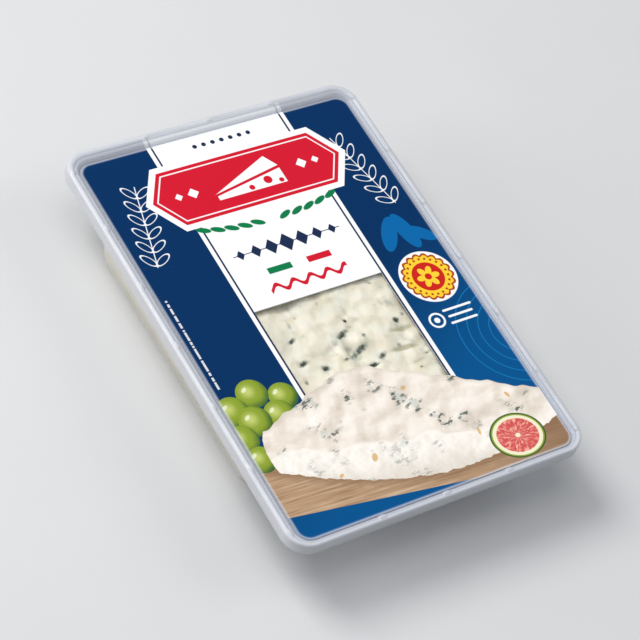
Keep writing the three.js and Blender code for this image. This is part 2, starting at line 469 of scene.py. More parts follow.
def make_lugs():
    lugs = []
    reach = RIM_CORNER - LUG_INSET
    for i in range(-LUGS_ALONG, LUGS_ALONG + 1):
        y = i * LUG_PITCH
        past = math.copysign(max(abs(y) - HALF_LENGTH + RIM_CORNER, 0), y)
        turn = math.asin(past / reach)
        x = HALF_WIDTH - RIM_CORNER + reach * math.cos(turn)
        lugs += [lug(x, y, turn), lug(-x, y, -turn)]
    for i in range(-LUGS_ACROSS, LUGS_ACROSS + 1):
        y = HALF_LENGTH - LUG_INSET
        lugs += [lug(i * LUG_PITCH, y, math.pi / 2), lug(i * LUG_PITCH, -y, math.pi / 2)]
    return lugs


def edge_arc(i):
    """Inset and rise of a step along the rounded edge of the hollow's base."""
    a = math.pi / 2 * i / EDGE_STEPS
    return BASE_EDGE * (math.sin(a) - 1), BASE_EDGE * (1 - math.cos(a))


def make_tray():
    underside = SEAT - WALL
    rings = []
    for i in range(EDGE_STEPS + 1):
        outset, rise = edge_arc(i)
        rings.append(base_ring(outset, rise))
    rings.append(base_ring(0, underside, lean_at(underside)))
    for section in (RIM_UNDERSIDE, RIM_TOP_SIDE):
        rings += [rim_ring(inset, FILM_TOP + rise) for inset, rise in smooth_curve(section, RIM_STEPS)]
    rings.append(base_ring(-WALL, SEAT, 1.0))
    for i in range(EDGE_STEPS, -1, -1):
        outset, rise = edge_arc(i)
        rings.append(base_ring(outset - WALL, WALL + rise))
    tray = loft("tray_shell", rings)
    join_solids(tray, make_lugs())
    smooth(tray)
    return tray


# Cheese.

def seeded_numbers(seed):
    """An endless row of numbers between 0 and 1, the same in each run."""
    state = seed
    while True:
        state = state * 16807 % 2147483647
        yield state / 2147483647


def cheese_pits():
    draw = seeded_numbers(PIT_SEED)
    pits = []
    for _ in range(PIT_COUNT):
        spans = ((-BASE_HALF_WIDTH, BASE_HALF_WIDTH), (BASE_NEAR, BASE_FAR), PIT_ACROSS, PIT_ALONG, PIT_DEPTH)
        pits.append([lerp(low, high, next(draw)) for low, high in spans])
    return pits


def mould_spots():
    draw = seeded_numbers(SPOT_SEED)
    spans = ((-BASE_HALF_WIDTH, BASE_HALF_WIDTH), (BASE_NEAR, BASE_FAR),
             SPOT_LENGTH, SPOT_WIDTH, SPOT_TURN, SPOT_STRENGTH)
    spots = [[lerp(low, high, next(draw)) for low, high in spans] for _ in range(SPOT_COUNT)]
    left, right, top = WINDOW_LEFT - SPOT_MARGIN, WINDOW_RIGHT + SPOT_MARGIN, WINDOW_TOP + SPOT_MARGIN
    beside = [s for s in spots if not (left < s[0] < right and s[1] < top)]
    return [*WINDOW_SPOTS, *beside]


def dents(x, y, marks):
    """Depth at a place under long soft dents, each with a place, half sizes, a turn and a depth."""
    total = 0
    for mark_x, mark_y, length, width, turn, depth in marks:
        dx, dy = x - mark_x, y - mark_y
        if abs(dx) + abs(dy) < 4 * length:
            along = (dx * math.cos(turn) + dy * math.sin(turn)) / length
            across = (dy * math.cos(turn) - dx * math.sin(turn)) / width
            total += depth * math.exp(-along * along - across * across)
    return total


def cheese_height(x, y, pits, spots):
    """Height of the cheese, and how strong mould and folds are there."""
    across = math.sin(x / WAVE_ACROSS + math.sin(y / WAVE_BEND))
    z = CHEESE_TOP + WAVE_HEIGHT * across * math.cos(y / WAVE_ALONG + x / WAVE_SKEW)
    hollow = 0
    for px, py, width, length, depth in pits:
        hollow += depth * math.exp(-((x - px) / width) ** 2 - ((y - py) / length) ** 2)
    spot = dents(x, y, spots)
    fold = dents(x, y, FOLDS)
    lumps = noise.fractal(Vector((x / LUMP_SIZE[0], y / LUMP_SIZE[1], 3.1)), 1.0, 2.0, 3)
    crags = noise.fractal(Vector((x / CRAG_SIZE[0], y / CRAG_SIZE[1], 8.7)), 0.9, 2.1, 2)
    relief = LUMP_HEIGHT * lumps + CRAG_HEIGHT * crags * (0.3 + min(hollow, 1))
    return z - hollow - MOULD_SINK * spot - fold + relief, PIT_MOULD * hollow + spot, fold


def square_to_round(u, v, half_width, half_length, corner):
    """Moves a point of a square grid to a rounded rectangle."""
    x, y = u * half_width, v * half_length
    a = (abs(x) - half_width + corner) / corner
    b = (abs(y) - half_length + corner) / corner
    if a > 0 and b > 0:
        x = math.copysign(half_width - corner + corner * a * math.sqrt(1 - b * b / 2), x)
        y = math.copysign(half_length - corner + corner * b * math.sqrt(1 - a * a / 2), y)
    return x, y


def cheese_plan(u, v, outset, lean):
    side = outset + lean * SIDE_DRAFT
    half_length = (BASE_FAR - BASE_NEAR) / 2 + outset + lean * END_DRAFT
    x, y = square_to_round(u, v, BASE_HALF_WIDTH + side, half_length, BASE_CORNER + side)
    return x * (1 + BASE_TAPER * y), y + BASE_MIDDLE


def cheese_face(away):
    """The block's upper face as a grid: points, faces, and the mould and folds at each point."""
    steps = CHEESE_GRID
    pits, spots = cheese_pits(), mould_spots()
    points, faces, moulds, folds = [], [], [], []
    for j in range(steps + 1):
        for i in range(steps + 1):
            u, v = 2 * i / steps - 1, 2 * j / steps - 1
            x, y = cheese_plan(u, v, away, lean_at(CHEESE_TOP))
            z, mould, fold = cheese_height(x, y, pits, spots)
            edge = max(max(abs(u), abs(v)) - 1 + CHEESE_BORDER, 0) / CHEESE_BORDER
            points.append((x, y, min(z, CHEESE_TOP + CHEESE_RISE) - CHEESE_ROUND * edge * edge))
            moulds.append(mould)
            folds.append(fold)
    for j in range(steps):
        for i in range(steps):
            a = j * (steps + 1) + i
            faces.append((a, a + 1, a + steps + 2, a + steps + 1))
    return points, faces, moulds, folds


def grid_border(steps):
    """Indices of the points on a square grid's border, in order round it."""
    row = steps + 1
    border = list(range(steps))
    border += [steps + j * row for j in range(steps)]
    border += [steps * row + i for i in range(steps, 0, -1)]
    return border + [j * row for j in range(steps, 0, -1)]


def add_cheese_side(points, faces, away):
    """Adds rings of points from the upper face's border down to a flat base."""
    floor = WALL + CHEESE_GAP
    row = CHEESE_GRID + 1
    above = grid_border(CHEESE_GRID)
    squares = [(2 * (i % row) / CHEESE_GRID - 1, 2 * (i // row) / CHEESE_GRID - 1) for i in above]
    levels = [(away, z, lean_at(z)) for z in (*SIDE_LEVELS, floor + BASE_EDGE)]
    levels += [(away - 0.4 * BASE_EDGE, floor + 0.3 * BASE_EDGE, 0.0), (away - BASE_EDGE, floor, 0.0)]
    for outset, z, lean in levels:
        ring = []
        for u, v in squares:
            x, y = cheese_plan(u, v, outset, lean)
            if z > floor + 1:
                x *= 1 + SIDE_BUMP * noise.fractal(Vector((x, y, z)) / SIDE_BUMP_SIZE, 1.0, 2.0, 3)
            ring.append(len(points))
            points.append((x, y, z))
        count = len(ring)
        for i in range(count):
            j = (i + 1) % count
            faces.append((above[i], ring[i], ring[j], above[j]))
        above = ring
    faces.append(tuple(reversed(above)))


def make_cheese():
    away = -WALL - CHEESE_GAP
    points, faces, moulds, folds = cheese_face(away)
    add_cheese_side(points, faces, away)
    cheese = mesh_object("cheese_block", points, faces)
    for key, values in (("mould", moulds), ("fold", folds)):
        layer = cheese.data.attributes.new(key, "FLOAT", "POINT")
        layer.data.foreach_set("value", values + [0] * (len(points) - len(values)))
    smooth(cheese, 60)
    return cheese


# Film.

def picture_top(x):
    """Upper contour of the pictured cheese, which is also the window's near edge."""
    away = x - HUMP_MIDDLE
    root = math.hypot(away, HUMP_ROUND)
    y = HUMP_TOP - (root - HUMP_ROUND) * (HUMP_SLOPE + HUMP_LEAN * away / root)
    return y + sum(size * math.sin(rate * x + start) for size, rate, start in HUMP_WAVES)


def film_height(x, y):
    """A little slackness in the film, in millimetres over its flat height."""
    from_edge = min(HALF_WIDTH - FILM_INSET - abs(x), y - FILM_NEAR, FILM_FAR - y)
    fade = min(1, from_edge / FILM_EDGE)
    return FILM_SLACK * max(fade, 0) * noise.noise(Vector((x / 31, y / 37, 0.4)))


def film_sheet(name, outline, hole=None):
    """A thin solid of the film inside an outline, in triangles small enough to follow its slackness."""
    shape = bmesh.new()
    edges = []
    for loop in [outline, hole] if hole else [outline]:
        verts = [shape.verts.new((x * MM, y * MM, 0)) for x, y in loop]
        edges += [shape.edges.new((a, b)) for a, b in zip(verts, verts[1:] + verts[:1])]
    bmesh.ops.triangle_fill(shape, edges=edges, use_beauty=True, normal=(0, 0, 1))
    for _ in range(5):
        long = [e for e in shape.edges if e.calc_length() > FILM_TRIANGLE * MM and not e.is_boundary]
        if not long:
            break
        bmesh.ops.subdivide_edges(shape, edges=long, cuts=1)
        bmesh.ops.triangulate(shape, faces=shape.faces)
    bmesh.ops.recalc_face_normals(shape, faces=shape.faces)
    for v in shape.verts:
        v.co.z = (FILM_TOP + film_height(v.co.x / MM, v.co.y / MM)) * MM
    if sum(f.normal.z for f in shape.faces) < 0:
        bmesh.ops.reverse_faces(shape, faces=shape.faces)
    lower = bmesh.ops.extrude_face_region(shape, geom=shape.faces[:] + shape.edges[:] + shape.verts[:])
    moved = [g for g in lower["geom"] if isinstance(g, bmesh.types.BMVert)]
    bmesh.ops.translate(shape, vec=(0, 0, -FILM_THICKNESS * MM), verts=moved)
    bmesh.ops.recalc_face_normals(shape, faces=shape.faces)
    piece = shape_object(name, shape)
    smooth(piece, 30)
    return piece


def window_outline():
    across = [lerp(WINDOW_LEFT, WINDOW_RIGHT, i / WINDOW_STEPS) for i in range(WINDOW_STEPS + 1)]
    near = [(x, picture_top(x)) for x in across]
    return [*near, (WINDOW_RIGHT, WINDOW_TOP), (WINDOW_LEFT, WINDOW_TOP)]


def make_film():
    outline = rounded_rectangle(HALF_WIDTH - FILM_INSET, FILM_NEAR, FILM_FAR, FILM_CORNER, 16)
    printed = film_sheet("film_print", outline, window_outline())
    clear = film_sheet("film_window", window_outline())
    return printed, clear


# Node helpers: each gives back a socket, so that a pattern reads as a formula.

class Nodes:
    def __init__(self, name):
        self.material = bpy.data.materials.new(name)
        self.material.use_nodes = True
        self.tree = self.material.node_tree
        self.tree.nodes.clear()

    def add(self, kind, **settings):
        node = self.tree.nodes.new("ShaderNode" + kind)
        for key, value in settings.items():
            setattr(node, key, value)
        return node

    def put(self, socket, value):
        if isinstance(value, bpy.types.NodeSocket):
            self.tree.links.new(value, socket)
        elif isinstance(value, tuple) and len(value) == 3 and socket.type == "RGBA":
            socket.default_value = (*value, 1)
        else:
            socket.default_value = value

    def math(self, operation, a, b=0.0, c=0.0, clamp=False):
        node = self.add("Math", operation=operation, use_clamp=clamp)
        for socket, value in zip(node.inputs, (a, b, c)):
            self.put(socket, value)
        return node.outputs[0]

    def plus(self, a, b):
        return self.math("ADD", a, b)

    def minus(self, a, b):
        return self.math("SUBTRACT", a, b)

    def times(self, a, b, clamp=False):
        return self.math("MULTIPLY", a, b, clamp=clamp)

    def linear(self, a, factor, offset, clamp=False):
        return self.math("MULTIPLY_ADD", a, factor, offset, clamp)

    def absolute(self, a):
        return self.math("ABSOLUTE", a)

    def sine(self, a):
        return self.math("SINE", a)

    def vector(self, operation, a, b=(0, 0, 0)):
        node = self.add("VectorMath", operation=operation)
        self.put(node.inputs[0], a)
        self.put(node.inputs[1], b)
        return node.outputs["Value" if operation in ("LENGTH", "DISTANCE", "DOT_PRODUCT") else "Vector"]

    def mix(self, base, over, amount):
        node = self.add("Mix", data_type="RGBA")
        self.put(node.inputs["Factor"], amount)
        self.put(node.inputs[6], base)
        self.put(node.inputs[7], over)
        return node.outputs[2]

    def place_mm(self):
        """The point's place in millimetres."""
        where = self.add("TexCoord").outputs["Object"]
        node = self.add("VectorMath", operation="SCALE")
        self.put(node.inputs[0], where)
        node.inputs["Scale"].default_value = 1 / MM
        return node.outputs["Vector"]

    def split(self, vector):
        node = self.add("SeparateXYZ")
        self.put(node.inputs[0], vector)
        return node.outputs[0], node.outputs[1], node.outputs[2]

    def join(self, x, y, z=0.0):
        node = self.add("CombineXYZ")
        for socket, value in zip(node.inputs, (x, y, z)):
            self.put(socket, value)
        return node.outputs[0]

    def ramp(self, value, low, high, out_low=0.0, out_high=1.0):
        node = self.add("MapRange", interpolation_type="SMOOTHSTEP")
        for socket, v in zip(node.inputs, (value, low, high, out_low, out_high)):
            self.put(socket, v)
        return node.outputs[0]

    def noise(self, vector, scale, detail=2.0, rough=0.5):
        node = self.add("TexNoise")
        self.put(node.inputs["Vector"], vector)
        node.inputs["Scale"].default_value = scale
        node.inputs["Detail"].default_value = detail
        node.inputs["Roughness"].default_value = rough
        return node.outputs[0]

    def noise_vector(self, vector, scale, detail):
        """A noise with a value for each axis, around 0."""
        colour = self.noise(vector, scale, detail).node.outputs["Color"]
        return self.vector("SUBTRACT", colour, (0.5, 0.5, 0.5))

    def cells(self, vector, scale):
        """Rounded cells: low in each cell's middle and high between them."""
        node = self.add("TexVoronoi", feature="SMOOTH_F1")
        self.put(node.inputs["Vector"], vector)
        node.inputs["Scale"].default_value = scale
        node.inputs["Smoothness"].default_value = 0.35
        return node.outputs["Distance"]

    def principled(self, **values):
        node = self.add("BsdfPrincipled")
        for key, value in values.items():
            self.put(node.inputs[key.replace("_", " ")], value)
        return node

    def blend(self, first, second, amount):
        """A mix of two shader nodes."""
        node = self.add("MixShader")
        for socket, value in zip(node.inputs, (amount, first.outputs[0], second.outputs[0])):
            self.put(socket, value)
        return node

    def finish(self, shader):
        out = self.add("OutputMaterial")
        self.tree.links.new(shader.outputs[0], out.inputs["Surface"])
        return self.material


class Print(Nodes):
    """Flat shapes for the print: each gives a mask, 1 inside and 0 outside, with a soft edge."""

    def __init__(self, name):
        super().__init__(name)
        self.place = self.vector("MULTIPLY", self.place_mm(), (1, 1, 0))
        self.x, self.y, _ = self.split(self.place)

    def inside(self, distance, edge=EDGE):
        """Turns a signed distance in millimetres into a mask."""
        return self.linear(distance, -1 / edge, 0.5, clamp=True)

    def outside(self, mask):
        return self.minus(1.0, mask)

    def both(self, *masks):
        result = masks[0]
        for mask in masks[1:]:
            result = self.times(result, mask)
        return result

    def either(self, *masks):
        result = masks[0]
        for mask in masks[1:]:
            result = self.math("MAXIMUM", result, mask)
        return result

    def turned(self, place, middle, angle, size):
        """A place in axes that start at a middle, are turned and have a size as their unit."""
        node = self.add("Mapping", vector_type="TEXTURE")
        self.put(node.inputs["Vector"], place)
        node.inputs["Location"].default_value = (*middle, 0)
        node.inputs["Rotation"].default_value = (0, 0, math.radians(angle))
        node.inputs["Scale"].default_value = (*size, 1)
        return node.outputs[0]

    def local(self, x, y, angle=0.0, size=(1, 1)):
        return self.turned(self.place, (x, y), angle, size)

    def straight(self, height, slope):
        """The y of a straight line, from its height at x = 0 and its slope."""
        return self.linear(self.x, slope, height)

    def below(self, height):
        """Mask of what lies nearer than a height in y."""
        return self.inside(self.minus(self.y, height))

    def above(self, height):
        return self.inside(self.minus(height, self.y))

    def ellipse(self, x, y, size, angle=0.0):
        away = self.vector("LENGTH", self.local(x, y, angle, size))
        return self.inside(self.times(self.minus(away, 1.0), min(size)))

    def disc(self, x, y, radius):
        return self.inside(self.minus(self.vector("DISTANCE", self.place, (x, y, 0)), radius))

    def circle_line(self, x, y, radius, half_line):
        away = self.minus(self.vector("DISTANCE", self.place, (x, y, 0)), radius)
        return self.inside(self.minus(self.absolute(away), half_line))

    def box_distance(self, local, half_width, half_height, corner=0.0):
        inner = (half_width - corner, half_height - corner, 0)
        over = self.vector("SUBTRACT", self.vector("ABSOLUTE", local), inner)
        away = self.vector("LENGTH", self.vector("MAXIMUM", over))
        x, y, _ = self.split(over)
        deep = self.math("MINIMUM", self.math("MAXIMUM", x, y), 0.0)
        return self.minus(self.plus(away, deep), corner)

    def box(self, x, y, half_width, half_height, corner=0.0):
        return self.inside(self.box_distance(self.local(x, y), half_width, half_height, corner))

    def band(self, value, middle, half):
        """The strip where a value is within half of the middle."""
        away = self.absolute(self.minus(value, middle))
        return self.inside(self.minus(away, half))

    def diamond(self, x, y, half_width, half_height):
        place = self.vector("ABSOLUTE", self.local(x, y, 0, (half_width, half_height)))
        sum_of_sides = self.vector("DOT_PRODUCT", place, (1, 1, 0))
        return self.inside(self.times(self.minus(sum_of_sides, 1.0), half_height * 0.7))

    def polygon(self, local, corners):
        """A convex polygon, its corners listed anticlockwise, in local coordinates."""
        distance = None
        for (x0, y0), (x1, y1) in zip(corners, corners[1:] + corners[:1]):
            length = math.hypot(x1 - x0, y1 - y0)
            normal = ((y1 - y0) / length, (x0 - x1) / length, 0)
            side = self.minus(self.vector("DOT_PRODUCT", local, normal), normal[0] * x0 + normal[1] * y0)
            distance = side if distance is None else self.math("MAXIMUM", distance, side)
        return self.inside(distance)


# Layers of the print, each painted over the colour so far.

def panels(p):
    """The fields of the print: blue all over, and on it a white band with a navy line inside each edge."""
    blue = p.mix(BLUE_NEAR, BLUE_FAR, p.ramp(p.linear(p.x, -0.5, p.y), FADE_NEAR, FADE_FAR))
    beyond = p.above(BAND_NEAR)
    colour = p.mix(blue, PAPER, p.both(p.band(p.x, BAND_MIDDLE, BAND_HALF), beyond))
    lines = p.either(*[p.band(p.x, place, LINE_HALF) for place in LINE_PLACES])
    return p.mix(colour, LINE_NAVY, p.both(lines, beyond))


def sprig(p, x, y, angle):
    """A stalk with pairs of outlined leaves, drawn in thin lines."""
    u, v, _ = p.split(p.local(x, y, angle))
    across = p.absolute(v)
    reach = p.band(u, 0, SPRIG_REACH)
    stalk = p.both(p.inside(p.minus(across, SPRIG_LINE)), reach)
    along = p.minus(p.math("FLOORED_MODULO", u, LEAF_PITCH), LEAF_PITCH / 2)
    leaf = p.turned(p.join(along, across), LEAF_PLACE, LEAF_TURN, LEAF_SIZE)
    away = p.absolute(p.minus(p.vector("LENGTH", leaf), 1.0))
    line = p.inside(p.minus(p.times(away, 1.3), LEAF_LINE))
    return p.either(stalk, p.both(line, reach))


def side_motifs(p, colour):
    """Blue leaves, arcs, two sprigs, a ring with three bars and a line of dashes."""
    colour = p.mix(colour, SOFT_BLUE, p.either(*[p.ellipse(*leaf) for leaf in BLUE_LEAVES]))
    away = p.vector("DISTANCE", p.place, ARC_CENTRE)
    arcs = p.band(p.math("FLOORED_MODULO", away, ARC_PITCH), ARC_PITCH / 2, ARC_LINE)
    arcs = p.both(arcs, p.inside(p.minus(away, ARC_REACH)), 0.6)
    colour = p.mix(colour, LINE_BLUE, arcs)
    colour = p.mix(colour, PAPER, p.either(*[sprig(p, *place) for place in SPRIGS]))
    bars = [p.box(BARS_X, y, half, BAR_HALF, BAR_CORNER) for y, half in BARS]
    mark = p.either(p.circle_line(*RING, RING_RADIUS, RING_LINE), p.disc(*RING, RING_DOT), *bars)
    colour = p.mix(colour, PAPER, mark)
    dashes = p.ramp(p.noise(p.join(0.0, p.y), 1.1, 1.0), 0.42, 0.46)
    return p.mix(colour, PAPER, p.both(p.box(*DASHES), dashes, 0.75))


def seal(p, colour):
    """A round mark: a scalloped gold disc with a ring of dots around a plain rosette."""
    spot = p.local(*SEAL)
    u, v, _ = p.split(spot)
    away = p.vector("LENGTH", spot)
    turn = p.math("ARCTAN2", v, u)
    colour = p.mix(colour, PAPER, p.disc(*SEAL, SEAL_PAPER))
    scallop = p.absolute(p.sine(p.times(turn, SCALLOPS / 2)))
    edge = p.minus(away, p.linear(scallop, SCALLOP_SIZE, SEAL_EDGE))
    colour = p.mix(colour, SEAL_RED, p.inside(edge))
    colour = p.mix(colour, YELLOW, p.inside(p.plus(edge, SEAL_BORDER)))
    beads = p.ramp(p.sine(p.times(turn, BEADS)), 0.1, 0.5)
    colour = p.mix(colour, SEAL_RED, p.both(beads, p.band(away, BEAD_RING, BEAD_HALF)))
    colour = p.mix(colour, SEAL_DISC, p.disc(*SEAL, SEAL_MIDDLE))
    petal = p.absolute(p.math("COSINE", p.times(turn, PETALS / 2)))
    flower = p.inside(p.minus(away, p.linear(petal, PETAL_SIZE, PETAL_ROOT)))
    colour = p.mix(colour, YELLOW, flower)
    return p.mix(colour, SEAL_DISC, p.disc(*SEAL, SEAL_DOT))


def plaque(p, colour):
    """A long six-sided plaque with a plain drawing of a wedge, over a row of leaves."""
    x, y = PLAQUE
    spot = p.local(x, y)
    u, v, _ = p.split(p.vector("ABSOLUTE", spot))
    slant = p.times(p.minus(p.linear(v, PLAQUE_SLANT, u), PLAQUE_REACH), 0.85)
    distance = p.math("MAXIMUM", p.minus(v, PLAQUE_HALF_HEIGHT), slant)
    leaves = []
    for i in range(LEAF_PAIRS):
        reach = LEAF_ROW_FIRST + LEAF_ROW_PITCH * i
        height = LEAF_ROW + LEAF_ROW_RISE * i * i
        for side in (-1, 1):
            leaves.append(p.ellipse(BAND_MIDDLE + side * reach, height, ROW_LEAF, side * ROW_LEAF_TURN))
    colour = p.mix(colour, GREEN, p.either(*leaves))
    colour = p.mix(colour, PAPER, p.inside(p.minus(distance, PLAQUE_BORDER)))
    colour = p.mix(colour, RED, p.inside(distance))
    holes = [p.disc(x + right, y + up, radius) for right, up, radius in WEDGE_HOLES]
    wedge = p.both(p.polygon(spot, WEDGE_SIDE), p.outside(p.either(*holes)))
    drawing = [p.band(distance, *PLAQUE_LINE), wedge, p.polygon(spot, WEDGE_TOP)]
    for reach, size in PLAQUE_DIAMONDS:
        drawing += [p.diamond(x + side * reach, y, size, size) for side in (-1, 1)]
    return p.mix(colour, PAPER, p.either(*drawing))


def band_ornaments(p, colour):
    """Plain ornaments down the white band: dots, a row of diamonds, two blocks of colour and a wave."""
    row = [p.box(BAND_MIDDLE, DIAMOND_ROW, ROW_HALF, ROW_LINE)]
    for i in range(-3, 4):
        size = DIAMOND_SIZE - DIAMOND_SHRINK * abs(i)
        row.append(p.diamond(BAND_MIDDLE + DIAMOND_PITCH * i, DIAMOND_ROW, size * DIAMOND_WIDTH, size))
        row.append(p.disc(BAND_MIDDLE + DOT_PITCH * i, DOT_ROW, DOT_RADIUS))
    colour = p.mix(colour, LINE_NAVY, p.either(*row))
    colour = p.mix(colour, GREEN, p.box(GREEN_BLOCK_X, BLOCK_Y, *BLOCK_HALF))
    colour = p.mix(colour, RED, p.box(RED_BLOCK_X, BLOCK_Y, *BLOCK_HALF))
    above = p.minus(p.minus(p.y, WAVE_Y), p.times(p.sine(p.x), WAVE_SIZE))
    wave = p.inside(p.minus(p.absolute(above), WAVE_LINE))
    return p.mix(colour, RED, p.both(wave, p.band(p.x, BAND_MIDDLE, WAVE_REACH)))


def emboss(nodes, place, scale, detail, shift):
    """Light and shade of a rough surface as a picture shows it, around 0."""
    here = nodes.noise(place, scale, detail)
    there = nodes.noise(nodes.vector("ADD", place, shift), scale, detail)
    return nodes.minus(here, there)


def contour(p):
    """The same line as picture_top, as a socket."""
    away = p.minus(p.x, HUMP_MIDDLE)
    root = p.math("SQRT", p.linear(away, away, HUMP_ROUND ** 2))
    slope = p.linear(p.math("DIVIDE", away, root), HUMP_LEAN, HUMP_SLOPE)
    top = p.minus(HUMP_TOP, p.times(p.minus(root, HUMP_ROUND), slope))
    for size, rate, start in HUMP_WAVES:
        ripple = p.sine(p.linear(p.x, rate, start))
        top = p.linear(ripple, size, top)
    return top


def wooden_board(p):
    """Wood with a long fine grain, darker on the right."""
    grain = p.noise(p.local(0, 0, GRAIN_TURN, GRAIN_SIZE), 1.0, 4.0, 0.6)
    wood = p.mix(WOOD_DARK, WOOD, p.ramp(grain, 0.30, 0.50))
    wood = p.mix(wood, WOOD_LIGHT, p.ramp(grain, 0.50, 0.70))
    return p.mix(wood, WOOD_DARK, p.ramp(p.x, *BOARD_DARKENS))


def served_cheese(p, top, cut):
    """The pictured cheese: a smooth top, a crumbly front below its cut edge, bits of rind and veins."""
    broad = p.times(emboss(p, p.place, 0.09, 1.5, (1.2, -1.9, 0.0)), 3.4)
    fine = p.times(emboss(p, p.place, 0.26, 2.0, (0.5, -0.8, 0.0)), 0.9)
    relief = p.plus(broad, fine)
    smooth_top = p.mix(SERVED_SHADE, SERVED, p.linear(relief, 1.2, 0.9, clamp=True))
    smooth_top = p.mix(smooth_top, SERVED_LIGHT, p.times(relief, 1.6, clamp=True))
    low = p.minus(cut, p.y)
    crumb = emboss(p, p.place, 0.26, 3.0, (1.0, -0.4, 0.0))
    front = p.mix(SERVED_SHADE, SERVED_LIGHT, p.linear(crumb, 1.1, 0.86, clamp=True))
    front = p.mix(front, SERVED_SHADE, p.both(p.ramp(low, 4.0, 13.0), 0.55))
    cheese = p.mix(smooth_top, front, p.inside(p.times(low, -1.0), 1.2))
    cut_edge = p.inside(p.minus(p.absolute(low), 0.5), 1.2)
    cheese = p.mix(cheese, SERVED_LIGHT, p.both(cut_edge, 0.7))
    bits = p.either(*[p.ellipse(*bit) for bit in RIND_BITS])
    cheese = p.mix(cheese, RIND, p.both(bits, 0.8))
    border = p.ramp(p.minus(p.y, top), -1.8, 0.0)
    cheese = p.mix(cheese, SERVED_SHADE, p.both(border, 0.45))
    fewer_in_front = p.linear(p.inside(p.times(low, -1.0), 3.0), -0.6, 1.0)
    patches = p.both(p.ramp(p.noise(p.place, 0.10, 1.0), 0.53, 0.63), fewer_in_front)
    flecks = p.ramp(p.noise(p.local(0, 0, 12, (1.8, 0.9)), 0.55, 4.0, 0.62), 0.52, 0.59)
    bloom = p.ramp(p.noise(p.place, 0.30, 3.0), 0.46, 0.60)
    cheese = p.mix(cheese, VEIN_SOFT, p.both(patches, bloom, 0.6))
    return p.mix(cheese, VEIN_DARK, p.both(patches, flecks, 0.9))


def picture(p, colour):
    """The pictured serving: a board, a bunch of grapes, a piece of veined cheese and a slice of fruit."""
    board = p.both(p.below(p.straight(*BOARD_FAR)), p.above(p.straight(*BOARD_NEAR)))
    colour = p.mix(colour, wooden_board(p), board)
    top = contour(p)
    ragged = p.linear(p.noise(p.place, 0.35, 3.0), 2.4, -1.2)
    away = p.absolute(p.linear(p.x, 1 / SERVED_HALF, -SERVED_LOWEST_X / SERVED_HALF))
    bottom = p.plus(p.linear(p.math("POWER", away, 2.0), SERVED_SAG, SERVED_BOTTOM), ragged)
    wander = p.linear(p.noise(p.place, 0.07, 2.0), 11.0, -5.5)
    cut = p.plus(p.straight(*CUT_LINE), wander)
    bulge = p.math("POWER", p.absolute(p.minus(p.y, BULGE_Y)), 2.0)
    left = p.linear(bulge, BULGE, p.linear(ragged, 0.5, SERVED_LEFT))
    shade_under = p.inside(p.minus(p.minus(bottom, 2.0), p.y), 2.6)
    colour = p.mix(colour, WOOD_DARK, p.both(board, shade_under, p.below(top), 0.7))
    colour = grapes(p, colour)
    body = p.both(p.below(top), p.above(bottom), p.inside(p.minus(left, p.x)))
    colour = p.mix(colour, served_cheese(p, top, cut), body)
    return fruit_slice(p, colour)


def grapes(p, colour):
    """A bunch of round green grapes, lighter at the upper left, each with a glint."""
    tint = p.noise(p.place, 0.22, 2.0)
    for x, y, radius in BUNCH:
        away = p.vector("LENGTH", p.local(x - 1.0, y + 1.2, 0, (radius * 1.25, radius * 1.25)))
        skin = p.mix(GRAPE_LIGHT, GRAPE, p.ramp(away, 0.0, 0.55))
        skin = p.mix(skin, GRAPE_DARK, p.ramp(p.linear(tint, 0.35, away), 0.75, 1.25))
        glint = p.ellipse(x - 1.7, y + 2.0, (1.1, 0.6), 35)
        skin = p.mix(skin, GRAPE_GLINT, p.both(glint, 0.6))
        colour = p.mix(colour, skin, p.disc(x, y, radius))
    return colour


def fruit_slice(p, colour):
    """A round slice of fruit: green skin, pale pith and red flesh with lighter spokes."""
    spot = p.local(*SLICE, 0, (1.0, SLICE_SQUASH))
    u, v, _ = p.split(spot)
    away = p.vector("LENGTH", spot)
    turn = p.math("ARCTAN2", v, u)
    spokes = p.linear(p.sine(p.times(turn, SPOKES)), 0.5, 0.5)
    grain = p.noise(p.join(p.times(turn, 5.0), p.times(away, 0.4)), 1.3, 3.0)
    pale = p.both(p.ramp(grain, 0.45, 0.62), p.linear(spokes, 0.5, 0.5))
    flesh = p.mix(FLESH, FLESH_LIGHT, pale)
    for layer, past in ((GRAPE_DARK, 0.35), (GRAPE, -0.2), (PITH, -0.7), (flesh, -2.0)):
        colour = p.mix(colour, layer, p.inside(p.minus(away, SLICE_RADIUS + past)))
    return p.mix(colour, PITH, p.inside(p.minus(away, SLICE_CORE)))


def printed_film():
    """The print on the film's upper face, a little hazy along its border, and a plain back."""
    p = Print("film_ink")
    colour = panels(p)
    for layer in (side_motifs, seal, plaque, band_ornaments, picture):
        colour = layer(p, colour)
    middle = (FILM_NEAR + FILM_FAR) / 2
    half_length = (FILM_FAR - FILM_NEAR) / 2
    border = p.box_distance(p.local(0, middle), HALF_WIDTH - FILM_INSET, half_length, FILM_CORNER)
    colour = p.mix(colour, p.mix(colour, HAZE, 0.5), p.ramp(border, -HAZE_WIDTH, 0.0))
    facing = p.split(p.add("NewGeometry").outputs["Normal"])[2]
    colour = p.mix(FILM_BACK, colour, p.ramp(facing, -0.2, 0.2))
    shader = p.principled(Base_Color=colour, Roughness=0.3, Specular_IOR_Level=0.11)
    return p.finish(shader)


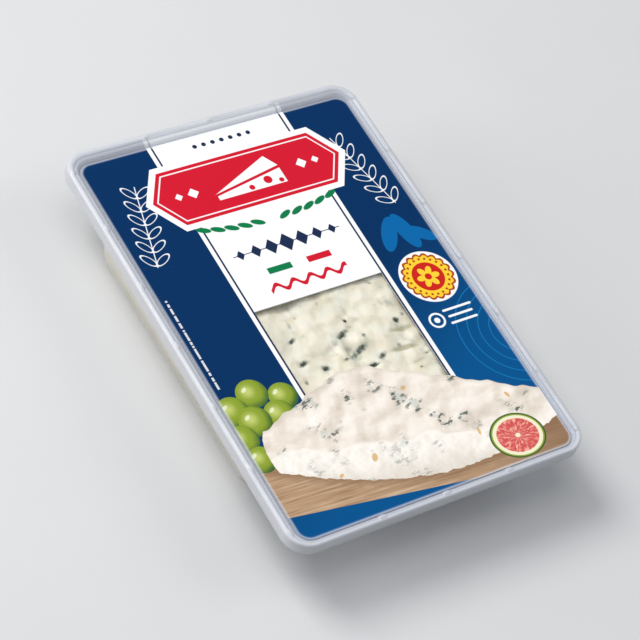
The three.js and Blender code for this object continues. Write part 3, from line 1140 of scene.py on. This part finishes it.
def clear_film():
    """See-through film with a soft gloss that grows towards its grazing sides."""
    nodes = Nodes("film_clear")
    through = nodes.add("BsdfTransparent")
    gloss = nodes.add("BsdfGlossy")
    gloss.inputs["Roughness"].default_value = 0.14
    layer = nodes.add("LayerWeight")
    layer.inputs["Blend"].default_value = 0.25
    sheen = nodes.ramp(layer.outputs["Facing"], 0.0, 1.0, 0.03, 0.35)
    return nodes.finish(nodes.blend(through, gloss, sheen))


def frosted_plastic():
    """Thin milky plastic, denser on the rim, with a painted reflection of the print on the rim's inner side.
    """
    p = Print("tray_frost")
    _, _, z = p.split(p.place_mm())
    inset = p.times(p.box_distance(p.place, HALF_WIDTH, HALF_LENGTH, RIM_CORNER), -1.0)
    colour = p.mix(FROST_SHADE, FROST, p.ramp(inset, 0.0, 0.6))
    # Painted reflection: the print's fields, a little hazy, painted onto the rim's upper side, inward from
    # its edge.
    above = p.ramp(z, FILM_TOP - 0.8, FILM_TOP - 0.3)
    tint = p.both(p.ramp(inset, 1.2, 4.0), above, 0.48)
    colour = p.mix(colour, p.mix(panels(p), HAZE, 0.25), tint)
    # Low on the wall the plastic is painted cream: partly the cheese showing through, partly painted light
    # that lightens the wall where it lies in shade.
    body = p.ramp(z, FILM_TOP - SKIRT_DROP - 3.0, FILM_TOP - SKIRT_DROP, 1.0, 0.0)
    colour = p.mix(colour, FROST_CREAM, body)
    surface = p.principled(Base_Color=colour, Roughness=0.26)
    glow = p.add("BsdfTranslucent")
    p.put(glow.inputs["Color"], colour)
    milky = p.blend(surface, glow, 0.2)
    density = p.ramp(z, FILM_TOP - SKIRT_DROP - 2.5, FILM_TOP - 0.9, 0.50, 0.80)
    return p.finish(p.blend(p.add("BsdfTransparent"), milky, density))


def painted_lump_shading(nodes, place):
    """Light and shade of soft lumps, around 0."""
    warp = nodes.vector("MULTIPLY", nodes.noise_vector(place, 0.2, 1.5), (5.0, 5.0, 0.0))
    warped = nodes.vector("ADD", place, warp)
    lit = nodes.cells(nodes.vector("ADD", warped, (0.5, -0.9, 0.0)), 0.17)
    lumps = nodes.minus(lit, nodes.cells(warped, 0.17))
    return nodes.linear(emboss(nodes, place, 0.11, 1.0, (0.9, -1.6, 0.0)), 0.5, lumps)


def add_mould(nodes, place, colour, mould, grains):
    """Paints mould over the colour: a soft grey halo, green grains and nearly black middles."""
    cloud = nodes.minus(nodes.noise(place, 0.4, 3.0), 0.5)
    halo = nodes.ramp(nodes.linear(cloud, 1.6, mould), 0.05, 0.9)
    colour = nodes.mix(colour, MOULD_HALO, nodes.times(halo, 0.75))
    depth = nodes.linear(nodes.minus(grains, 0.5), 2.4, mould)
    colour = nodes.mix(colour, MOULD, nodes.times(nodes.ramp(depth, 0.65, 1.15), 0.85))
    return nodes.mix(colour, MOULD_DEEP, nodes.ramp(depth, 1.05, 1.5))


def cheese_cream():
    """Moist cream with paler and cooler patches, painted light and shade of soft lumps, painted shade in the
    folds, and mould in the dents.
    """
    nodes = Nodes("cheese_cream")
    place = nodes.place_mm()
    mould = nodes.add("Attribute", attribute_name="mould").outputs["Fac"]
    fold = nodes.add("Attribute", attribute_name="fold").outputs["Fac"]
    side = nodes.ramp(nodes.split(place)[2], CHEESE_TOP - 3.0, CHEESE_TOP - 1.5, 1.0, 0.0)
    side_veins = nodes.times(side, nodes.ramp(nodes.noise(place, 0.17, 3.0), 0.54, 0.66))
    mould = nodes.linear(side_veins, 1.6, mould)
    colour = nodes.mix(CREAM, CREAM_LIGHT, nodes.ramp(nodes.noise(place, 0.09, 1.0), 0.38, 0.62))
    cool = nodes.times(nodes.ramp(nodes.noise(place, 0.10, 1.5), 0.50, 0.66), 0.5)
    colour = nodes.mix(colour, CREAM_COOL, cool)
    lumps = painted_lump_shading(nodes, place)
    # Painted shade on the shaded sides of the lumps and painted highlight on their lit sides.
    colour = nodes.mix(colour, CREAM_SHADE, nodes.times(lumps, -2.2, clamp=True))
    colour = nodes.mix(colour, CREAM_HIGHLIGHT, nodes.times(lumps, 3.0, clamp=True))
    # Painted shade in the folds of the cut face.
    colour = nodes.mix(colour, FOLD_SHADE, nodes.times(nodes.ramp(fold, 0.08, 0.5), 0.8))
    grains = nodes.noise(place, 0.8, 4.0, 0.65)
    colour = add_mould(nodes, place, colour, mould, grains)
    bump = nodes.add("Bump")
    bump.inputs["Strength"].default_value = 0.8
    bump.inputs["Distance"].default_value = 1.6 * MM
    nodes.put(bump.inputs["Height"], nodes.noise(place, 0.17, 1.0))
    rough = nodes.ramp(grains, 0.3, 0.7, 0.28, 0.46)
    shader = nodes.principled(
        Base_Color=colour, Roughness=rough, Subsurface_Weight=0.12, Subsurface_Scale=2 * MM)
    nodes.put(shader.inputs["Normal"], bump.outputs[0])
    return nodes.finish(shader)


# Stage, lights and camera.

def make_stage():
    corners = [(x * FLOOR_HALF, y * FLOOR_HALF, 0) for x, y in ((-1, -1), (1, -1), (1, 1), (-1, 1))]
    floor = mesh_object("floor", corners, [(0, 1, 2, 3)])
    nodes = Nodes("floor_paper")
    colour = nodes.mix(FLOOR_DARK, FLOOR_LIGHT, nodes.noise(nodes.place_mm(), 0.02, 3.0))
    shader = nodes.principled(Base_Color=colour, Roughness=0.85)
    floor.data.materials.append(nodes.finish(shader))


def area_light(name, place, target_height, size, power, colour):
    light = bpy.data.lights.new(name, "AREA")
    light.shape = "DISK"
    light.size = size
    light.energy = power
    light.color = colour
    piece = bpy.data.objects.new(name, light)
    piece.location = place
    aim = Vector((0, 0, target_height)) - Vector(place)
    piece.rotation_euler = aim.to_track_quat("-Z", "Y").to_euler()
    bpy.context.scene.collection.objects.link(piece)


def make_lights():
    for light in LIGHTS:
        area_light(*light)
    world = bpy.data.worlds.new("studio")
    world.use_nodes = True
    sky = world.node_tree.nodes["Background"]
    sky.inputs["Color"].default_value = (*SKY, 1)
    sky.inputs["Strength"].default_value = SKY_STRENGTH
    bpy.context.scene.world = world


def make_camera():
    data = bpy.data.cameras.new("camera")
    data.lens = CAMERA_LENS
    data.sensor_width = 36
    data.clip_start = 0.01
    camera = bpy.data.objects.new("camera", data)
    camera.location = CAMERA_PLACE
    aim = (Vector(CAMERA_TARGET) - Vector(CAMERA_PLACE)).to_track_quat("-Z", "Y").to_matrix()
    roll = Euler((0, 0, math.radians(CAMERA_ROLL))).to_matrix()
    camera.rotation_euler = (aim @ roll).to_euler()
    bpy.context.scene.collection.objects.link(camera)
    bpy.context.scene.camera = camera


def dress(piece, node, material):
    piece.data.materials.clear()
    piece.data.materials.append(material)
    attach(piece, "root")
    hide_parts(node)


tray = make_tray()
cheese = make_cheese()
film_print, film_window = make_film()
dress(tray, "tray", frosted_plastic())
dress(cheese, "cheese", cheese_cream())
dress(film_print, "lid_film", printed_film())
dress(film_window, "lid_film", clear_film())
make_stage()
make_lights()
make_camera()
bpy.context.scene.view_settings.view_transform = "Standard"
